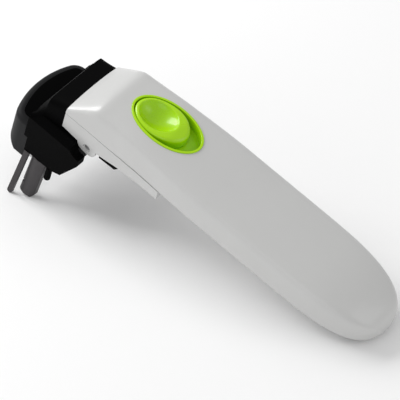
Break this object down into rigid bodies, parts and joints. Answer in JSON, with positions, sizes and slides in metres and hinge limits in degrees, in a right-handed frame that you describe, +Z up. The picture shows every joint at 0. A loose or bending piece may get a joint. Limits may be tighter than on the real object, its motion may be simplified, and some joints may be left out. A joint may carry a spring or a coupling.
{
  "type": "electric can opener",
  "caption": "Cordless wand can opener with a tilting cutting head, geared drive wheel, thumb slider and battery handle.",
  "frame": {"origin": "on the ground, under the middle of the whole tool as it stands on its guide finger and tail", "axes": "+X from the cutting head to the tail, +Z up, +Y to the far side of the head from the cutter"},
  "size_m": [0.2202, 0.0548, 0.0747],
  "materials": {
    "white": "smooth moulded plastic with a soft gloss",
    "green": "glossy moulded plastic",
    "black": "satin moulded plastic",
    "grey": "satin moulded plastic",
    "gunmetal": "dark plated steel",
    "steel": "bright turned steel",
    "brass": "machined",
    "nylon": "moulded nylon",
    "cell": "plain sleeve",
    "contact": "nickel plated"
  },
  "bodies": {
    "handle": {"upper_shell": "white", "lower_shell": "white", "slider_bezel": "green", "slide_switch": "black", "battery_cells": "cell", "battery_cradle": "black", "front_contacts": "contact", "rear_contact": "contact", "cradle_screws": "steel", "shell_screws": "steel", "pivot_pins": "steel"},
    "door": {"battery_door": "white"},
    "slider": {"thumb_slider": "green", "slider_carrier": "black", "switch_knob": "black"},
    "latch": {"release_latch": "black"},
    "head": {"head_housing": "black", "base_plate": "black", "nose_cap": "grey", "head_screws": "steel", "motor": "steel", "motor_plate": "steel", "drive_bush": "brass", "gear_pins": "steel", "cutter_bracket": "gunmetal", "cutter_axle": "steel", "guide_plate": "gunmetal", "guide_finger": "gunmetal", "guide_screws": "steel", "rim_post": "black"},
    "motor_rotor": {"motor_shaft": "steel", "motor_pinion": "brass"},
    "cluster_1": {"gear_cluster_1": "nylon"},
    "cluster_2": {"gear_cluster_2": "nylon"},
    "cluster_3": {"gear_cluster_3": "steel"},
    "drive": {"drive_gear": "steel", "drive_shaft": "steel", "drive_wheel": "steel"},
    "cutter": {"cutter_wheel": "steel"}
  },
  "joints": [
    {"name": "head_tilt", "type": "hinge", "parent": "handle", "child": "head", "pos_m": [-0.05747, 0.0034, 0.0453], "axis": [0, -1, 0], "range_deg": [0, 5]},
    {"name": "door_slide", "type": "slide", "parent": "handle", "child": "door", "axis": [0.941, 0, -0.3383], "range_m": [0, 0.02]},
    {"name": "thumb_slide", "type": "slide", "parent": "handle", "child": "slider", "axis": [0.941, 0, -0.3383], "range_m": [0, 0.006], "stiffness_N_per_m": 400},
    {"name": "latch_slide", "type": "slide", "parent": "handle", "child": "latch", "axis": [0.941, 0, -0.3383], "range_m": [0, 0.0025], "stiffness_N_per_m": 300},
    {"name": "drive_spin", "type": "hinge", "parent": "head", "child": "drive", "pos_m": [-0.08222, -0.0086, 0.03794], "axis": [0.3383, 0, 0.941], "continuous": true},
    {"name": "motor_spin", "type": "hinge", "parent": "head", "child": "motor_rotor", "pos_m": [-0.07535, 0.0034, 0.03547], "axis": [0.3383, 0, 0.941], "continuous": true},
    {"name": "cluster_1_spin", "type": "hinge", "parent": "head", "child": "cluster_1", "pos_m": [-0.08654, 0.00183, 0.03949], "axis": [0.3383, 0, 0.941], "continuous": true},
    {"name": "cluster_2_spin", "type": "hinge", "parent": "head", "child": "cluster_2", "pos_m": [-0.08089, 0.01222, 0.03747], "axis": [0.3383, 0, 0.941], "continuous": true},
    {"name": "cluster_3_spin", "type": "hinge", "parent": "head", "child": "cluster_3", "pos_m": [-0.08654, 0.00183, 0.03949], "axis": [0.3383, 0, 0.941], "continuous": true},
    {"name": "cutter_spin", "type": "hinge", "parent": "head", "child": "cutter", "pos_m": [-0.09954, -0.0138, 0.02228], "axis": [0, 1, 0], "continuous": true}
  ],
  "couplings": [
    {"joint": "drive_spin", "follows": "motor_spin", "ratio": 0.017094},
    {"joint": "cluster_1_spin", "follows": "motor_spin", "ratio": -0.33333},
    {"joint": "cluster_2_spin", "follows": "motor_spin", "ratio": 0.11111},
    {"joint": "cluster_3_spin", "follows": "motor_spin", "ratio": -0.037037}
  ]
}
